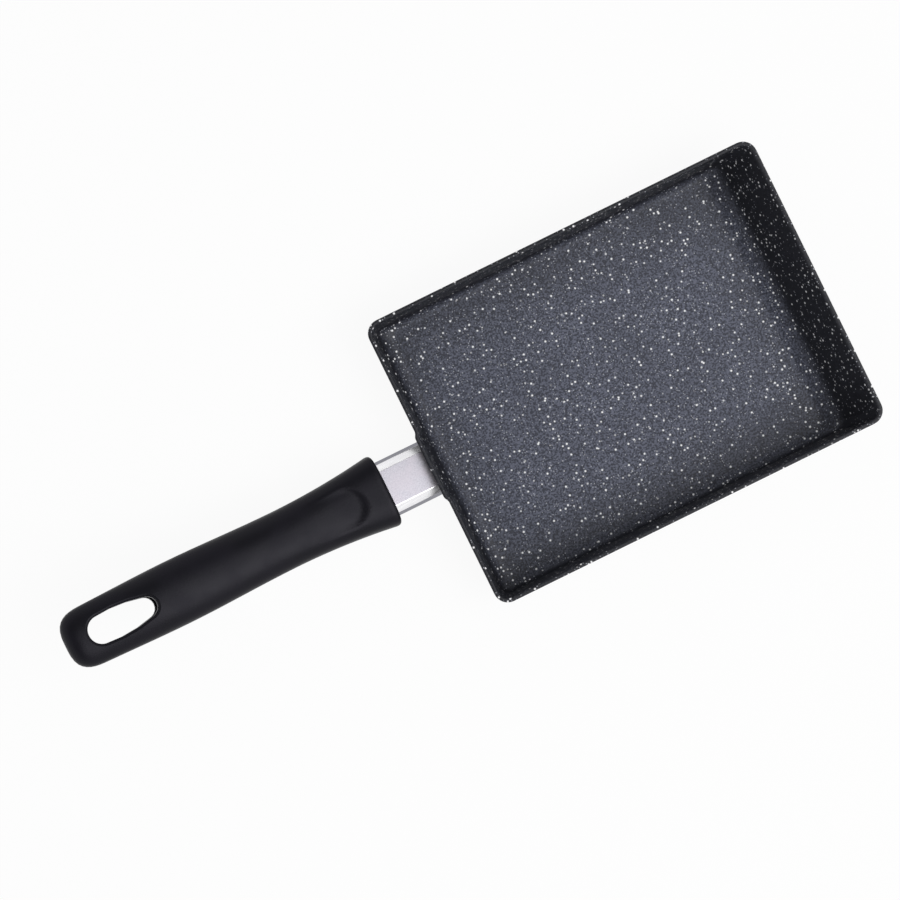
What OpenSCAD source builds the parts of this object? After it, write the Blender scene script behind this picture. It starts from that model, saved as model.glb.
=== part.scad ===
// Tamagoyaki pan: a pressed rectangular pan with one sloped wall, on a moulded handle with a metal neck.
// Lengths are millimetres. X runs from the handle to the far wall, Z is up,
// and the origin lies on the flat base, under the middle of the rim.

/* [Pan] */
// Outside length at the rim
pan_length = 182; // [140:1:240]
// Outside width at the rim
pan_width = 132; // [100:1:180]
// Height from the base to the rim
pan_height = 32; // [29:0.5:45]
// Thickness of the pressed sheet
sheet = 1.8; // [1.2:0.1:3]
// Outside radius of the upright corners
corner_r = 6.2; // [5:0.1:14]
// Slope of the two long walls, from level
side_slope = 87.5; // [80:0.5:89]
// Slope of the wall at the handle, from level
handle_slope = 87; // [82:0.5:89]
// Slope of the far wall, from level
far_slope = 64; // [50:1:80]
// Inside radius where the long walls meet the floor
side_foot_r = 4.8; // [2:0.2:7]
// Inside radius where the handle wall meets the floor
handle_foot_r = 7; // [4:0.5:8]
// Inside radius where the far wall meets the floor
far_foot_r = 12; // [6:0.5:18]
// Rounding of the rim's two edges
rim_r = 0.5; // [0.2:0.1:0.6]
// Width of the flat pad pressed out for the neck
pad_width = 27; // [26:0.5:40]
// How far the pad stands out of the wall
pad_out = 1.1; // [0.4:0.1:2]
// Width of the slopes at the pad's sides and foot
pad_edge = 3; // [1.5:0.5:5]

/* [Neck] */
// Height of the neck's centre line where it meets the pad
neck_height = 19; // [18:0.5:22]
// Rise of the neck and handle, from level
neck_rise = 11.5; // [5:0.5:18]
// Length of the neck from the pad to the handle
neck_length = 22.5; // [16:0.5:40]

/* [Flame guard] */
// Width of the sleeve
guard_width = 24.8; // [23.6:0.2:25.8]
// Height of the sleeve
guard_height = 13; // [12.6:0.2:14]
// Width of the flat panel on top
guard_panel = 16; // [13:0.2:17]
// Drop of the bevels beside the panel
guard_bevel = 1.9; // [1:0.1:2.2]
// How much further out the sleeve's sides stand at half height
guard_flare = 1.4; // [0.2:0.1:1.6]
// Thickness of the sleeve
guard_sheet = 0.8; // [0.5:0.1:0.9]
// Bend radius along the sleeve
guard_bend = 0.6; // [0.3:0.1:0.8]

/* [Bracket] */
// Thickness of the pressed bracket
plate = 1.5; // [1.2:0.1:1.6]
// Inside width and height of the channel
channel = 8.4; // [8:0.1:8.6]
// Length of the channel inside the handle
tongue_length = 14; // [10:0.5:20]
// Clearance between pieces that slide together
fit = 0.25; // [0.15:0.05:0.35]

/* [Rivets] */
// Diameter of the shank
rivet_d = 3.6; // [3:0.1:3.8]
// Distance between the two rivets
rivet_pitch = 17.4; // [17.2:0.1:17.6]
// Diameter of the round head inside the pan
rivet_head_d = 8; // [6:0.5:9]
// Height of the round head
rivet_head_h = 1.6; // [1:0.1:2.2]
// Diameter of the formed end behind the bracket
rivet_end_d = 4.8; // [4.4:0.1:5]
// Height of the formed end
rivet_end_h = 1.4; // [1:0.1:1.8]
// Clearance round a shank in its hole
rivet_fit = 0.1; // [0.05:0.05:0.15]

/* [Handle] */
// Length from the front face to the tail
handle_length = 150; // [130:1:180]
// Width at the front face
front_width = 32.8; // [29:0.2:36]
// Width at the waist
waist_width = 25.6; // [23:0.2:28]
// Width at the grip
grip_width = 27.8; // [24:0.2:32]
// Width at the tail
tail_width = 25.8; // [22:0.2:30]
// Height above the centre line at the front face
front_top = 11; // [10.4:0.1:13]
// Height above the centre line at the waist
waist_top = 8.5; // [8:0.1:10]
// Height above the centre line at the grip
grip_top = 8.4; // [7.6:0.1:10]
// Height above the centre line at the tail
tail_top = 6; // [5:0.1:8]
// Depth below the centre line at the front face
front_under = 10; // [9:0.1:12]
// Depth below the centre line at the waist
waist_under = 8; // [7.6:0.1:10]
// Depth below the centre line at the grip
grip_under = 8.8; // [7.6:0.1:11]
// Depth below the centre line at the tail
tail_under = 5.6; // [5:0.1:8]
// Distance of the waist from the front face
waist_at = 48; // [42:1:56]
// Distance of the widest grip from the front face
grip_at = 98; // [80:1:102]
// Length of the rounded tail seen from above
tail_round = 14; // [8:0.5:20]
// Length of the rounded tail seen from the side
tail_edge = 7; // [4:0.5:10]
// Rounding of the front face's edge
front_r = 1.8; // [1:0.1:3]
// Squareness of the section at the front face, where 2 is an ellipse
front_square = 3.4; // [2.4:0.1:4]
// Squareness of the section at the grip, where 2 is an ellipse
grip_square = 2.3; // [2:0.1:3]

/* [Thumb rest] */
// Distance of the thumb rest from the front face
thumb_at = 10.5; // [8:0.5:16]
// Width of the thumb rest
thumb_width = 18.4; // [14:0.2:20]
// Length at full depth
thumb_flat = 3; // [0:0.5:8]
// Length over which it then fades out
thumb_length = 30; // [22:1:40]
// Depth of the thumb rest at its front
thumb_depth = 0.8; // [0.4:0.1:1.5]
// Width of its rounded edge
thumb_edge = 2; // [1:0.1:3]

/* [Hanging slot] */
// Distance of the slot from the handle's tail
slot_to_tail = 10.4; // [9:0.1:16]
// Length of the slot
slot_length = 31.1; // [24:0.1:34]
// Radius of the slot's end nearer the pan
slot_front_r = 4.5; // [3.5:0.1:5.5]
// Radius of the slot's end nearer the tail
slot_tail_r = 6; // [5:0.1:7]
// Radius of the slot's bowed long sides
slot_side_r = 60; // [40:1:200]
// Rounding of the slot's edges
slot_edge = 1.6; // [0.6:0.1:2]

/* [Screw] */
// Diameter of the long screw
screw_d = 5; // [4.6:0.1:5.2]
// Diameter of the screw head
screw_head_d = 9; // [8:0.1:9.2]
// Height of the screw head
screw_head_h = 3.4; // [2.6:0.1:4]
// Width of the cross recess in the head
recess_width = 1.2; // [0.8:0.1:1.6]
// Length of the cross recess in the head
recess_length = 5.4; // [4:0.2:7]
// Depth of the cross recess in the head
recess_depth = 1.7; // [1:0.1:2.4]
// How far the screw stands through its nut
screw_reach = 2; // [0.5:0.1:3]
// Depth of the head's seat behind the slot
seat_depth = 7; // [6:0.2:10]
// Clearance of the seat round the flat washer
seat_fit = 0.8; // [0.4:0.1:1]
// Clearance of the bore round the screw
bore_fit = 1.2; // [0.4:0.1:1.4]
// Diameter of the flat washer
washer_d = 9.4; // [9:0.1:9.6]
// Thickness of the flat washer
washer_t = 1; // [0.6:0.1:1.2]
// Diameter of the spring washer
spring_d = 8.6; // [8:0.1:9]
// Thickness of the spring washer
spring_t = 1.3; // [1:0.1:1.5]
// Width of the split in the spring washer
spring_gap = 0.8; // [0.4:0.1:1.2]
// Clearance of the washers round the screw
washer_fit = 0.4; // [0.2:0.1:0.6]
// Diameter of the nut fixed in the channel
nut_d = 7.8; // [7.4:0.1:7.8]
// Length of the nut without its collar
nut_length = 4; // [3:0.2:6]
// Diameter of the nut's collar in the channel's end
collar_d = 6.4; // [6.2:0.1:6.6]

/* [Hidden] */
$fn = 64;

// How finely the lofted surfaces are divided
corner_steps = 8;
pad_steps = 4;
wall_steps = 14;
rim_steps = 3;
dome_steps = 8;
top_turn = 6;
under_turn = 10;
front_step = 1.25;
waist_steps = 12;
grip_steps = 14;
tail_turn = 9;
slot_steps = 8;
side_steps = 3;
flare_turn = 15;

// Height at which the pad's slope starts, and at which all foot radii have ended and the pad is full
pad_foot = handle_foot_r + sheet - pad_edge / 2;
foot_top = max(pad_foot + pad_edge, (far_foot_r + sheet) * (1 - cos(far_slope)) + sheet / 2);
// Where the neck's centre line leaves the pad
pad_x = -pan_length / 2 + (pan_height - neck_height) / tan(handle_slope) - pad_out;
channel_out = channel + 2 * plate;
tongue_end = neck_length + tongue_length;
slot_at = handle_length - slot_to_tail - slot_length;
seat_at = neck_length + slot_at - seat_depth;
bore_d = screw_d + bore_fit;
seat_d = washer_d + seat_fit;
shank_hole_d = rivet_d + 2 * rivet_fit;

// The slot's outline: two end circles, and side arcs that touch both from inside
slot_front = slot_at + slot_front_r;
slot_tail = slot_at + slot_length - slot_tail_r;
slot_middle = (slot_front + slot_tail) / 2 + (pow(slot_side_r - slot_front_r, 2)
              - pow(slot_side_r - slot_tail_r, 2)) / (2 * (slot_tail - slot_front));
slot_offset = sqrt(pow(slot_side_r - slot_tail_r, 2) - pow(slot_tail - slot_middle, 2));
slot_tail_angle = atan2(slot_offset, slot_tail - slot_middle);
slot_front_angle = atan2(slot_offset, slot_front - slot_middle);

// Shape of the rounded tail, seen from above and from the side, where 2 is an ellipse
tail_plan = 3.1;
tail_profile = 2.2;

function ramp(t) = let (u = min(1, max(0, t))) u * u * (3 - 2 * u);
function mix(a, b, t) = a + (b - a) * t;

// A closed solid through rings of points that all have the same count
module loft(rings) {
    n = len(rings[0]);
    last = len(rings) - 1;
    sides = [for (i = [0 : last - 1], j = [0 : n - 1])
        [i * n + j, (i + 1) * n + j, (i + 1) * n + (j + 1) % n, i * n + (j + 1) % n]];
    caps = [[for (j = [0 : n - 1]) j], [for (j = [n - 1 : -1 : 0]) last * n + j]];
    polyhedron([for (ring = rings, p = ring) p], concat(sides, caps), convexity = 8);
}

// Inset of a wall from the rim's outer edge, at height z and at depth d under its outside skin
function wall_in(z, slope, foot_r, d) =
    let (outer_r = foot_r + sheet, r = outer_r - d,
         centre = (pan_height - outer_r * (1 - cos(slope))) / tan(slope) + outer_r * sin(slope))
    z >= outer_r - r * cos(slope)
        ? (pan_height - z) / tan(slope) + d / sin(slope)
        : centre - sqrt(max(0, r * r - pow(outer_r - z, 2)));

function corner(x, y, z, r, start) =
    [for (i = [0 : corner_steps]) let (a = start + 90 * i / corner_steps) [x + r * cos(a), y + r * sin(a), z]];

// The pan's outline at one height, with the pad on its handle side
function pan_ring(z, d) =
    let (far = pan_length / 2 - wall_in(z, far_slope, far_foot_r, d),
         near = -pan_length / 2 + wall_in(z, handle_slope, handle_foot_r, d),
         side = pan_width / 2 - wall_in(z, side_slope, side_foot_r, d),
         r = corner_r - d,
         out = pad_out * ramp((z - pad_foot) / pad_edge),
         pad = [for (i = [0 : pad_steps]) let (t = i / pad_steps)
                [near - out * ramp(t), pad_width / 2 + pad_edge * (1 - t), z]])
    concat(corner(far - r, side - r, z, r, 0), corner(near + r, side - r, z, r, 90),
           pad, [for (i = [pad_steps : -1 : 0]) [pad[i][0], -pad[i][1], z]],
           corner(near + r, r - side, z, r, 180), corner(far - r, r - side, z, r, 270));

module pan_body() {
    outside = [for (i = [0 : wall_steps]) [foot_top * pow(i / wall_steps, 2), 0]];
    inside = [for (i = [wall_steps : -1 : 0])
        [sheet + (foot_top - sheet) * pow(i / wall_steps, 2), sheet]];
    rim_out = [for (i = [0 : rim_steps]) let (a = 90 * i / rim_steps)
        [pan_height - rim_r * (1 - sin(a)), rim_r * (1 - cos(a))]];
    rim_in = [for (i = [rim_steps : -1 : 0]) [rim_out[i][0], sheet - rim_out[i][1]]];
    color("#303238") difference() {
        loft([for (p = concat(outside, rim_out, rim_in, inside)) pan_ring(p[0], p[1])]);
        on_rivets() translate([-sheet, 0, 0]) cross_rod(shank_hole_d, 3 * sheet);
    }
}

// Frame on the pad: the X axis is square to it and points into the pan
module on_pad() {
    translate([pad_x, 0, neck_height]) rotate([0, handle_slope - 90, 0]) children();
}

// Frame on the neck's centre line: minus X runs to the tail of the handle
module on_neck() {
    translate([pad_x, 0, neck_height]) rotate([0, neck_rise, 0]) children();
}

module on_rivets() {
    for (side = [-1, 1]) on_pad() translate([0, side * rivet_pitch / 2, 0]) children();
}

// A round bar from the frame's origin along X
module cross_rod(d, length) {
    rotate([0, 90, 0]) cylinder(d = d, h = length);
}

// A round bar on the neck's centre line, between two distances from the pad
module neck_rod(d, from, to) {
    translate([-to, 0, 0]) cross_rod(d, to - from);
}

// A flat shape drawn across the neck, drawn out between two distances from the pad
module along_neck(from, to) {
    translate([-to, 0, 0]) rotate([90, 0, 90]) linear_extrude(to - from) children();
}

// Everything on the pan's side of the pad
module beyond_pad() {
    size = 3 * guard_width;
    on_pad() translate([0, -size / 2, -size / 2]) cube(size);
}

// Outline of the sleeve across the neck
module guard_outline() {
    half = guard_height / 2;
    bevel_end = guard_width / 2 - guard_flare;
    offset(r = guard_bend) offset(delta = -guard_bend) polygon([
        [-guard_panel / 2, half], [guard_panel / 2, half],
        [bevel_end, half - guard_bevel], [guard_width / 2, 0], [bevel_end, guard_bevel - half],
        [guard_panel / 2, -half], [-guard_panel / 2, -half],
        [-bevel_end, guard_bevel - half], [-guard_width / 2, 0], [-bevel_end, half - guard_bevel]]);
}

module flame_guard() {
    color("#c9c8cf") difference() {
        on_neck() along_neck(-plate, neck_length) difference() {
            guard_outline();
            offset(delta = -guard_sheet) guard_outline();
        }
        beyond_pad();
    }
}

// Outline of the channel across the neck, open below; grow widens it all round
module channel_outline(grow = 0) {
    translate([-channel_out / 2 - grow, -channel / 2 - grow])
        square([channel_out + 2 * grow, channel + plate + 2 * grow]);
}

module bracket() {
    color("#8f9196") difference() {
        union() {
            on_pad() along_neck(0, plate) offset(delta = -guard_sheet - fit) guard_outline();
            difference() {
                on_neck() along_neck(-plate, tongue_end) channel_outline();
                on_neck() along_neck(-2 * plate, tongue_end - plate)
                    translate([-channel / 2, -channel]) square([channel, 1.5 * channel]);
                beyond_pad();
            }
        }
        on_neck() neck_rod(collar_d + 2 * rivet_fit, tongue_end - 2 * plate, tongue_end + plate);
        on_rivets() translate([-2 * plate, 0, 0]) cross_rod(shank_hole_d, 3 * plate);
    }
}

module bracket_nut() {
    color("#b9bbc0") on_neck() difference() {
        union() {
            neck_rod(nut_d, tongue_end - plate - nut_length, tongue_end - plate);
            neck_rod(collar_d, tongue_end - plate - nut_length / 2, tongue_end);
        }
        neck_rod(screw_d + 2 * rivet_fit, tongue_end - 2 * nut_length - plate, tongue_end + plate);
    }
}

// One rivet: round head inside the pan, shank, and the end formed against the bracket
module rivet(side) {
    dome_r = (pow(rivet_head_d / 2, 2) + pow(rivet_head_h, 2)) / (2 * rivet_head_h);
    dome_a = asin(rivet_head_d / 2 / dome_r);
    dome = [for (i = [dome_steps : -1 : 0]) let (a = dome_a * i / dome_steps)
        [dome_r * sin(a), sheet + rivet_head_h - dome_r * (1 - cos(a))]];
    color("#303238") on_pad() translate([0, side * rivet_pitch / 2, 0]) rotate([0, 90, 0])
        rotate_extrude() polygon(concat(
            [[0, -plate - rivet_end_h], [rivet_end_d / 2, -plate - rivet_end_h],
             [rivet_end_d / 2, -plate], [rivet_d / 2, -plate], [rivet_d / 2, sheet]], dome));
}

module rivet_left() { rivet(1); }
module rivet_right() { rivet(-1); }

// A size of the handle at distance s from its front face, through its four named values
function along(s, front, waist, grip, tail) =
    s < waist_at ? mix(waist, front, pow(1 - s / waist_at, 2))
    : s < grip_at ? mix(waist, grip, ramp((s - waist_at) / (grip_at - waist_at)))
    : mix(grip, tail, ramp((s - grip_at) / (handle_length - grip_at)));

// Rounding factor of the tail over its last length
function tail_factor(s, length, power) =
    pow(max(0, 1 - pow(max(0, s - handle_length + length) / length, power)), 1 / power);

// How far the front edge's rounding draws the outline in
function front_in(s) = s < front_r ? front_r - sqrt(max(0, front_r * front_r - pow(front_r - s, 2))) : 0;

function half_width(s) =
    along(s, front_width, waist_width, grip_width, tail_width) / 2
    * tail_factor(s, tail_round, tail_plan) - front_in(s);
function crown(s) =
    along(s, front_top, waist_top, grip_top, tail_top) * tail_factor(s, tail_edge, tail_profile) - front_in(s);
function keel(s) =
    along(s, front_under, waist_under, grip_under, tail_under)
    * tail_factor(s, tail_edge, tail_profile) - front_in(s);

// Roundness of the handle's section: squarer at the front, rounder at the grip
function squareness(s) = mix(front_square, grip_square, ramp(s / waist_at));
function arch(t, s) = pow(max(0, 1 - pow(abs(t), squareness(s))), 1 / squareness(s));

// How far the thumb rest sinks below the crown
function thumb_sink(s, y) =
    let (r = thumb_width / 2, back = max(0, thumb_at + r - s),
         inside = r - sqrt(back * back + y * y))
    thumb_depth * ramp(inside / thumb_edge) * (1 - ramp((s - thumb_at - thumb_flat) / thumb_length));

// Height of the upper and lower surface at distance s and offset y
function top_at(s, y) = crown(s) * arch(y / half_width(s), s) - thumb_sink(s, y);
function under_at(s, y) = -keel(s) * arch(y / half_width(s), s);

function handle_ring(s) =
    let (w = half_width(s))
    concat([for (a = [-90 : top_turn : 90]) [-s, w * sin(a), top_at(s, w * sin(a))]],
           [for (a = [90 - under_turn : -under_turn : under_turn - 90])
            [-s, w * sin(a), under_at(s, w * sin(a))]]);

// Distances of the handle's rings: close at both ends and along the thumb rest
thumb_end = thumb_at + thumb_width / 2;
handle_steps = concat(
    [for (i = [0 : rim_steps]) front_r * (1 - cos(90 * i / (rim_steps + 1)))],
    [for (s = [front_r : front_step : thumb_end]) s],
    [for (i = [1 : waist_steps]) mix(thumb_end + front_step / 2, waist_at, i / waist_steps)],
    [for (i = [1 : grip_steps]) mix(waist_at, handle_length - tail_round, i / grip_steps)],
    [for (a = [tail_turn : tail_turn : 90 - tail_turn]) handle_length - tail_round * (1 - sin(a))],
    [for (left = [0.006, 0.0007]) handle_length - tail_round * left]);

// Point of the hanging slot's outline, grown by a distance, where its normal points along angle a
function slot_point(a, grow) =
    let (at_tail = abs(a) <= slot_tail_angle, at_front = abs(a) >= slot_front_angle,
         centre = at_tail ? slot_tail : at_front ? slot_front : slot_middle,
         r = (at_tail ? slot_tail_r : at_front ? slot_front_r : slot_side_r) + grow)
    [centre + r * cos(a), r * sin(a) - (at_tail || at_front ? 0 : sign(a) * slot_offset)];

// The slot's cutter: straight walls whose ends flare out along the handle's own surfaces
module slot_cutter() {
    half_turn = concat([for (i = [0 : slot_steps]) slot_tail_angle * i / slot_steps],
                       [for (i = [1 : side_steps]) mix(slot_tail_angle, slot_front_angle, i / side_steps)],
                       [for (i = [1 : slot_steps / 2]) mix(slot_front_angle, 180, 2 * i / slot_steps)]);
    last_angle = len(half_turn) - 1;
    angles = concat(half_turn, [for (i = [last_angle - 1 : -1 : 1]) -half_turn[i]]);
    flare = [for (b = [90 - flare_turn : -flare_turn : 0])
        [slot_edge * (1 - cos(b)), slot_edge * (1 - sin(b))]];
    last = len(flare) - 1;
    over = 2.5 * slot_edge;
    function ring(grow, sink, up) = [for (a = angles)
        let (p = slot_point(a, grow))
        [-p[0], -p[1], up ? top_at(p[0], p[1]) - sink : under_at(p[0], p[1]) + sink]];
    loft(concat([ring(flare[0][0], -over, false)], [for (f = flare) ring(f[0], f[1], false)],
                [for (i = [last : -1 : 0]) ring(flare[i][0], flare[i][1], true)],
                [ring(flare[0][0], -over, true)]));
}

module handle() {
    color("#1b1b1e") on_neck() difference() {
        translate([-neck_length, 0, 0]) difference() {
            loft([for (s = handle_steps) handle_ring(s)]);
            slot_cutter();
        }
        along_neck(neck_length - plate, tongue_end + fit) channel_outline(fit);
        neck_rod(bore_d, neck_length, seat_at + washer_t);
        neck_rod(seat_d, seat_at, neck_length + slot_front);
    }
}

module handle_screw() {
    head_at = seat_at + washer_t + spring_t;
    head_end = head_at + screw_head_h;
    color("#b9bbc0") on_neck() difference() {
        union() {
            neck_rod(screw_d, tongue_end - plate - nut_length - screw_reach, head_at + screw_head_h / 2);
            neck_rod(screw_head_d, head_at, head_end);
        }
        for (turn = [0, 90]) translate([-head_end, 0, 0]) rotate([turn, 0, 0])
            cube([2 * recess_depth, recess_width, recess_length], center = true);
    }
}

// A flat ring on the screw, between two distances from the pad
module ring_on_screw(d, from, to) {
    on_neck() difference() {
        neck_rod(d, from, to);
        neck_rod(screw_d + washer_fit, from - washer_t, to + washer_t);
    }
}

module flat_washer() {
    color("#b9bbc0") ring_on_screw(washer_d, seat_at, seat_at + washer_t);
}

module spring_washer() {
    from = seat_at + washer_t;
    split_turn = 25;
    color("#a2a4aa") difference() {
        ring_on_screw(spring_d, from, from + spring_t);
        on_neck() translate([-from - spring_t / 2, 0, spring_d / 2]) rotate([0, 0, split_turn])
            cube([4 * spring_t, spring_gap, spring_d], center = true);
    }
}

pan_body();
bracket();
bracket_nut();
rivet_left();
rivet_right();
flame_guard();
handle();
handle_screw();
flat_washer();
spring_washer();
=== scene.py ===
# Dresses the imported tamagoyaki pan, seen straight from above on white, as in the photograph.
# Lengths are metres in the frame's own axes: X runs from the handle to the far wall, Z is up.
import math

import bmesh
import bpy
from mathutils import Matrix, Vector


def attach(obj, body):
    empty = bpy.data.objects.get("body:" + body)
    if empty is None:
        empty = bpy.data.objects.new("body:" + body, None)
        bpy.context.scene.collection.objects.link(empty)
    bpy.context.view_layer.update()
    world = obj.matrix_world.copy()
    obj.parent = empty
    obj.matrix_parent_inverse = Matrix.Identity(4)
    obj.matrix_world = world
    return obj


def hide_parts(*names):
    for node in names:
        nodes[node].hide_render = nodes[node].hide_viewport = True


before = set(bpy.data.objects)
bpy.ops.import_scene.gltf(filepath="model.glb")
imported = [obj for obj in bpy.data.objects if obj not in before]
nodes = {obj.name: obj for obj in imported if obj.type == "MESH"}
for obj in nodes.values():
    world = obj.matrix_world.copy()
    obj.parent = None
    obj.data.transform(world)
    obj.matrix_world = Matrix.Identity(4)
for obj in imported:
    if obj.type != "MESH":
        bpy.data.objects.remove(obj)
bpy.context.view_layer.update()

# Camera, found from the rim's four corners in the photograph
CAMERA_AT = Vector((-0.08095, 0.0031, 1.532))
CAMERA_TURN = math.radians(-26.18)
CAMERA_LENS = 142.3

# Edges sharper than this stay crisp when a mesh is shaded smooth
CREASE = math.radians(32)

# How far a face of the sleeve points up, across and along for it to be panel, bevel or end
PANEL_UP = 0.93
PANEL_ACROSS = 0.04
BEVEL_UP = 0.45
END_ALONG = 0.7
END_ACROSS = 0.2

# A fleck is solid within this share of its radius, and is chosen with this softness
FLECK_CORE = 0.45
FLECK_SOFTNESS = 0.12

# Grey of the room's light, and how much of the floor's shown colour is plain white
ROOM = (0.3, 0.3, 0.3, 1)
FLOOR_WHITE_SHARE = 0.93

# The one lamp: its direction from the pan, size, distance and power
KEY_TOWARD = (0.33, -0.30, 0.87)
KEY_SIZE = 1.7
KEY_DISTANCE = 2.2
KEY_POWER = 35
LAMP_AIM = Vector((-0.05, 0, 0))


def rgb(red, green, blue):
    """An sRGB colour from 0 to 255 as the linear colour that a shader takes."""
    def linear(value):
        part = value / 255
        return part / 12.92 if part <= 0.04045 else ((part + 0.055) / 1.055) ** 2.4
    return (linear(red), linear(green), linear(blue), 1.0)


def add(tree, kind, inputs=None, **settings):
    """A shader node; an input given a socket is linked, any other is set to the value."""
    made = tree.nodes.new("ShaderNode" + kind)
    for key, value in settings.items():
        setattr(made, key, value)
    for key, value in (inputs or {}).items():
        if isinstance(value, bpy.types.NodeSocket):
            tree.links.new(value, made.inputs[key])
        else:
            made.inputs[key].default_value = value
    return made


def new_material(name):
    """An empty material: its tree, its principled shader and its object coordinates."""
    made = bpy.data.materials.new(name)
    made.use_nodes = True
    tree = made.node_tree
    shader = next(n for n in tree.nodes if n.type == "BSDF_PRINCIPLED")
    place = add(tree, "TexCoord").outputs["Object"]
    return made, tree, shader, place


def ramp(tree, value, low, high, start=0.0, end=1.0):
    """Value spread smoothly from low..high to start..end."""
    inputs = {"Value": value, "From Min": low, "From Max": high, "To Min": start, "To Max": end}
    return add(tree, "MapRange", inputs, interpolation_type="SMOOTHSTEP").outputs["Result"]


def times(tree, one, other):
    """Two values multiplied."""
    return add(tree, "Math", {0: one, 1: other}, operation="MULTIPLY").outputs[0]


def blend(tree, amount, one, other):
    """One colour turning to the other as amount goes from 0 to 1."""
    made = add(tree, "Mix", data_type="RGBA")
    for key, value in ((0, amount), (6, one), (7, other)):
        if isinstance(value, bpy.types.NodeSocket):
            tree.links.new(value, made.inputs[key])
        else:
            made.inputs[key].default_value = value
    return made.outputs[2]


def noise(tree, place, size, detail=2.0, seed=0.0):
    """Soft noise whose blotches are about size metres wide."""
    shifted = add(tree, "VectorMath", {0: place, 1: (seed, seed, seed)}, operation="ADD").outputs[0]
    inputs = {"Vector": shifted, "Scale": 1 / size, "Detail": detail}
    return add(tree, "TexNoise", inputs).outputs["Fac"]


def flecks(tree, place, spacing, radius, share):
    """Round flecks, one in some of the cells of a random pattern: 1 inside, 0 outside."""
    cells = add(tree, "TexVoronoi", {"Vector": place, "Scale": 1 / spacing})
    inside = ramp(tree, cells.outputs["Distance"], radius / spacing, FLECK_CORE * radius / spacing)
    lot = add(tree, "SeparateColor", {0: cells.outputs["Color"]}).outputs[0]
    chosen = ramp(tree, lot, share, share - FLECK_SOFTNESS)
    return times(tree, inside, chosen)


def bump(tree, shader, height, distance):
    """Lets a height stand out of the surface by distance metres."""
    made = add(tree, "Bump", {"Height": height, "Distance": distance})
    tree.links.new(made.outputs[0], shader.inputs["Normal"])


def coating():
    """Dark grey non-stick coating with fine grain and pale mineral flecks, with painted shade that darkens
    it on steep and high faces and on the floor near the walls.
    """
    made, tree, shader, place = new_material("speckled_coating")
    grain = noise(tree, place, 0.0008, 3.0)
    clouds = noise(tree, place, 0.03, 2.0, 3.0)
    normal = add(tree, "TexCoord").outputs["Normal"]
    upright = add(tree, "SeparateXYZ", {0: normal}).outputs["Z"]
    # Painted shade: faces that are not level, such as the walls, take the darker shaded colours.
    level = ramp(tree, add(tree, "Math", {0: upright}, operation="ABSOLUTE").outputs[0], 0.4, 0.98)
    apart = add(tree, "SeparateXYZ", {0: place}).outputs
    # Painted shade: faces higher than the floor, up the walls and on the rim, get darker.
    low = ramp(tree, apart["Z"], 0.020, 0.005, 0.1)
    aside = add(tree, "Math", {0: apart["Y"]}, operation="ABSOLUTE").outputs[0]
    # Painted shade: the floor darkens towards the long walls, the handle wall and the far wall.
    inner = ramp(tree, aside, 0.064, 0.028, 0.55, 1.0)
    near = ramp(tree, apart["X"], -0.090, -0.068, 0.45, 1.0)
    far = ramp(tree, apart["X"], 0.080, 0.046, 0.55, 1.0)
    # Together these give the lit share: 1 on the open floor, lower where the painted shade lies.
    painted_lit_share = times(tree, times(tree, level, low), times(tree, inner, times(tree, near, far)))
    # Each grain colour has a shaded copy (painted shade) and a lit copy for the open floor.
    deep = blend(tree, painted_lit_share, rgb(18, 19, 24), rgb(47, 50, 63))
    pale = blend(tree, painted_lit_share, rgb(34, 35, 42), rgb(103, 107, 124))
    base = blend(tree, ramp(tree, grain, 0.40, 0.62), deep, pale)
    base = blend(tree, ramp(tree, clouds, 0.3, 0.7, 0.0, 0.25), base, deep)
    small = flecks(tree, place, 0.0011, 0.00032, 0.50)
    large = flecks(tree, place, 0.0022, 0.00062, 0.52)
    base = blend(tree, times(tree, small, 0.75), base, rgb(196, 198, 207))
    base = blend(tree, times(tree, large, 0.97), base, rgb(252, 252, 254))
    tree.links.new(base, shader.inputs["Base Color"])
    tree.links.new(ramp(tree, grain, 0.3, 0.7, 0.40, 0.52), shader.inputs["Roughness"])
    shader.inputs["Specular IOR Level"].default_value = 0.3
    bump(tree, shader, grain, 0.00006)
    return made


def bakelite():
    """Black moulded plastic with a satin, faintly pebbled skin."""
    made, tree, shader, place = new_material("moulded_bakelite")
    skin = noise(tree, place, 0.0007, 3.0)
    cast = noise(tree, place, 0.012, 2.0, 5.0)
    base = blend(tree, ramp(tree, cast, 0.3, 0.7), rgb(7, 7, 12), rgb(11, 10, 17))
    tree.links.new(base, shader.inputs["Base Color"])
    tree.links.new(ramp(tree, cast, 0.3, 0.7, 0.40, 0.48), shader.inputs["Roughness"])
    shader.inputs["Specular IOR Level"].default_value = 0.2
    shader.inputs["Specular Tint"].default_value = (0.90, 0.88, 1.0, 1.0)
    bump(tree, shader, skin, 0.00003)
    return made


def satin_steel():
    """The sleeve's panel: pale steel with a fine blasted grain."""
    made, tree, shader, place = new_material("satin_steel")
    grain = noise(tree, place, 0.0006, 3.0)
    tint = noise(tree, place, 0.006, 2.0, 7.0)
    base = blend(tree, ramp(tree, grain, 0.3, 0.7), rgb(150, 148, 156), rgb(184, 182, 189))
    base = blend(tree, ramp(tree, tint, 0.35, 0.65, 0.0, 0.3), base, rgb(176, 168, 176))
    tree.links.new(base, shader.inputs["Base Color"])
    shader.inputs["Metallic"].default_value = 1.0
    tree.links.new(ramp(tree, grain, 0.3, 0.7, 0.42, 0.55), shader.inputs["Roughness"])
    bump(tree, shader, grain, 0.00003)
    return made


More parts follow.
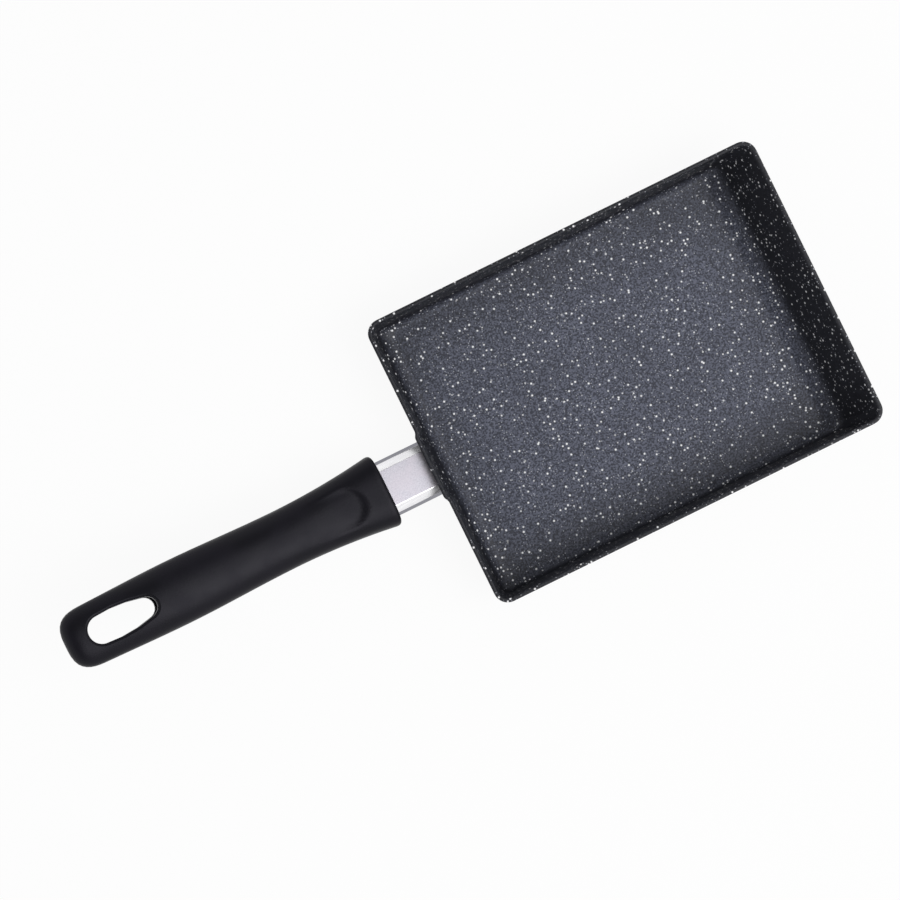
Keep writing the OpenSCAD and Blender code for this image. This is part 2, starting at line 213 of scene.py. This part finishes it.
def polished_steel():
    """The sleeve's bevels and ends: bright polished steel with faint lengthwise lines."""
    made, tree, shader, place = new_material("polished_steel")
    lines = add(tree, "Mapping", {"Vector": place, "Scale": (20, 700, 700)}).outputs[0]
    streaks = add(tree, "TexNoise", {"Vector": lines, "Scale": 1.0, "Detail": 2.0}).outputs["Fac"]
    base = blend(tree, ramp(tree, streaks, 0.3, 0.7), rgb(236, 235, 238), rgb(248, 248, 250))
    tree.links.new(base, shader.inputs["Base Color"])
    shader.inputs["Metallic"].default_value = 1.0
    tree.links.new(ramp(tree, streaks, 0.3, 0.7, 0.20, 0.26), shader.inputs["Roughness"])
    bump(tree, shader, streaks, 0.000004)
    return made


def shaded_side_steel():
    """The sleeve's sides and underside: the sleeve's steel painted darker as painted shade, with lengthwise
    lines.
    """
    made, tree, shader, place = new_material("painted_shade_steel")
    lines = add(tree, "Mapping", {"Vector": place, "Scale": (60, 1800, 1800)}).outputs[0]
    streaks = add(tree, "TexNoise", {"Vector": lines, "Scale": 1.0, "Detail": 3.0}).outputs["Fac"]
    # Painted shade: this base is darker than the panel's steel, so the sides read as shaded.
    base = blend(tree, ramp(tree, streaks, 0.3, 0.7), rgb(112, 112, 122), rgb(140, 140, 150))
    tree.links.new(base, shader.inputs["Base Color"])
    shader.inputs["Metallic"].default_value = 1.0
    tree.links.new(ramp(tree, streaks, 0.3, 0.7, 0.32, 0.45), shader.inputs["Roughness"])
    bump(tree, shader, streaks, 0.00001)
    return made


def plated_steel():
    """Zinc-plated steel of the bracket, screw and washers, with faint spangle."""
    made, tree, shader, place = new_material("plated_steel")
    spangle = add(tree, "TexVoronoi", {"Vector": place, "Scale": 900.0}).outputs["Color"]
    patch = add(tree, "SeparateColor", {0: spangle}).outputs[0]
    film = noise(tree, place, 0.003, 3.0)
    base = blend(tree, patch, rgb(148, 150, 154), rgb(172, 173, 176))
    base = blend(tree, ramp(tree, film, 0.4, 0.7, 0.0, 0.35), base, rgb(150, 148, 138))
    tree.links.new(base, shader.inputs["Base Color"])
    shader.inputs["Metallic"].default_value = 1.0
    tree.links.new(ramp(tree, film, 0.3, 0.7, 0.28, 0.45), shader.inputs["Roughness"])
    bump(tree, shader, film, 0.00002)
    return made


def skin(name, slot, materials, pick=None):
    """A smooth copy of a CAD node that stands for it; pick gives a face the number of its material."""
    mesh = nodes[name].data.copy()
    mesh.materials.clear()
    for material in materials:
        mesh.materials.append(material)
    form = bmesh.new()
    form.from_mesh(mesh)
    bmesh.ops.remove_doubles(form, verts=form.verts, dist=1e-6)
    for face in form.faces:
        face.smooth = True
        face.material_index = pick(face) if pick else 0
    for edge in form.edges:
        edge.smooth = len(edge.link_faces) == 2 and edge.calc_face_angle(math.pi) < CREASE
    form.to_mesh(mesh)
    form.free()
    if mesh.attributes.get("custom_normal"):
        mesh.attributes.remove(mesh.attributes["custom_normal"])
    piece = bpy.data.objects.new(name + "_skin", mesh)
    bpy.context.scene.collection.objects.link(piece)
    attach(piece, "root")
    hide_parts(name)
    return piece


def sleeve_part(face):
    """Which finish a face of the sleeve has: 0 panel, 1 polished bevel or end, 2 side darkened with painted
    shade.
    """
    along, across, up = abs(face.normal.x), abs(face.normal.y), face.normal.z
    if up > PANEL_UP and across < PANEL_ACROSS:
        return 0
    is_end = along > END_ALONG and across < END_ACROSS
    return 1 if up > BEVEL_UP or is_end else 2


def dress():
    """Gives every sub-part its finish."""
    plated = plated_steel()
    skin("pan_body", "coated_pan", [coating()])
    skin("handle", "moulded_handle", [bakelite()])
    skin("flame_guard", "satin_steel", [satin_steel(), polished_steel(), shaded_side_steel()], sleeve_part)
    coat = bpy.data.materials["speckled_coating"]
    for name in ("rivet_left", "rivet_right"):
        nodes[name].data.materials[0] = coat
    for name in ("bracket", "bracket_nut", "handle_screw", "flat_washer", "spring_washer"):
        nodes[name].data.materials[0] = plated


def white_floor():
    """A white floor that keeps a faint shadow of the object."""
    made, tree, shader, place = new_material("white_floor")
    tree.nodes.remove(shader)
    paper = noise(tree, place, 0.05)
    tone = blend(tree, paper, rgb(244, 244, 244), rgb(248, 248, 248))
    lit = add(tree, "BsdfDiffuse", {"Color": tone}).outputs[0]
    glow = add(tree, "Emission", {"Color": rgb(255, 255, 255), "Strength": 1.0}).outputs[0]
    share = times(tree, shown_rays(tree), FLOOR_WHITE_SHARE)
    mixed = add(tree, "MixShader", {0: share, 1: lit, 2: glow}).outputs[0]
    output = next(n for n in tree.nodes if n.type == "OUTPUT_MATERIAL")
    tree.links.new(mixed, output.inputs[0])
    bpy.ops.mesh.primitive_circle_add(vertices=96, radius=20, fill_type="NGON", location=(0, 0, -0.0002))
    floor = bpy.context.object
    floor.name = "floor"
    floor.data.materials.append(made)


def shown_rays(tree):
    """1 for the rays that show the background: straight, mirrored or through glass."""
    path = add(tree, "LightPath").outputs
    seen = add(tree, "Math", {0: path["Is Camera Ray"], 1: path["Is Glossy Ray"]}, operation="MAXIMUM")
    inputs = {0: seen.outputs[0], 1: path["Is Transmission Ray"]}
    return add(tree, "Math", inputs, operation="MAXIMUM").outputs[0]


def surroundings():
    """Soft room light; the white background shows low down, and the ceiling is dim."""
    world = bpy.data.worlds.new("studio")
    world.use_nodes = True
    bpy.context.scene.world = world
    tree = world.node_tree
    back = tree.nodes["Background"]
    height = add(tree, "SeparateXYZ", {0: add(tree, "TexCoord").outputs["Generated"]}).outputs["Z"]
    white_low = blend(tree, ramp(tree, height, 0.5, 0.8), (1, 1, 1, 1), ROOM)
    tree.links.new(blend(tree, shown_rays(tree), ROOM, white_low), back.inputs["Color"])
    back.inputs["Strength"].default_value = 1.0


def key_light():
    """A square area lamp that faces the pan."""
    lamp = bpy.data.lights.new("key", "AREA")
    lamp.size = KEY_SIZE
    lamp.energy = KEY_POWER
    made = bpy.data.objects.new("key", lamp)
    bpy.context.scene.collection.objects.link(made)
    direction = Vector(KEY_TOWARD).normalized()
    made.location = LAMP_AIM + direction * KEY_DISTANCE
    made.rotation_euler = direction.to_track_quat("Z", "Y").to_euler()


def camera():
    """The photograph's camera, straight above the pan."""
    made = bpy.data.objects.new("camera", bpy.data.cameras.new("camera"))
    bpy.context.scene.collection.objects.link(made)
    made.location = CAMERA_AT
    made.rotation_euler = (0, 0, CAMERA_TURN)
    made.data.lens = CAMERA_LENS
    made.data.clip_start = 0.05
    made.data.clip_end = 100
    bpy.context.scene.camera = made


camera()
dress()
white_floor()
surroundings()
key_light()
bpy.context.scene.view_settings.view_transform = "Standard"
